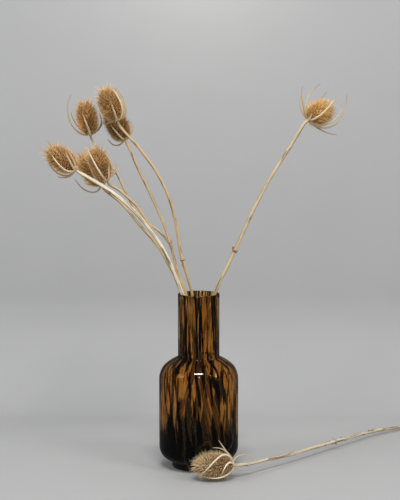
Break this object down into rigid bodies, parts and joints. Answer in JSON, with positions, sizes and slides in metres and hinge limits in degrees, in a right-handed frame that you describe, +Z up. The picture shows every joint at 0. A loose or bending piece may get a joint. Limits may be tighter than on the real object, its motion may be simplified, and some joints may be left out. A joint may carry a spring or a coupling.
{
  "type": "dried teasels in a glass bottle vase",
  "caption": "Dried teasel seed heads on long straw stems in a brown tortoiseshell-glass bottle vase, with one more teasel lying on the table in front of it.",
  "frame": {"origin": "middle of the underside of the vase's foot, on the surface it stands on", "axes": "+Z up; seen from the front along +Y, so -Y is the front and +X the right, where the single tall teasel leans"},
  "size_m": [0.6537, 0.3982, 0.6571],
  "materials": {
    "tortoiseshell_glass": "gloss",
    "dry_stem": "matte",
    "seed_chaff": "matte",
    "dry_bract": "matte"
  },
  "bodies": {
    "root": {"vase": "tortoiseshell_glass", "stem_1": "dry_stem", "stem_2": "dry_stem", "stem_3": "dry_stem", "forked_stem": "dry_stem", "stem_5": "dry_stem", "stem_7": "dry_stem", "stem_8": "dry_stem", "seed_head_1": "seed_chaff", "seed_head_2": "seed_chaff", "seed_head_3": "seed_chaff", "seed_head_4": "seed_chaff", "seed_head_5": "seed_chaff", "seed_head_6": "seed_chaff", "seed_head_7": "seed_chaff", "seed_head_8": "seed_chaff", "bracts_1": "dry_bract", "bracts_2": "dry_bract", "bracts_3": "dry_bract", "bracts_4": "dry_bract", "bracts_5": "dry_bract", "bracts_6": "dry_bract", "bracts_7": "dry_bract", "bracts_8": "dry_bract"}
  },
  "joints": []
}
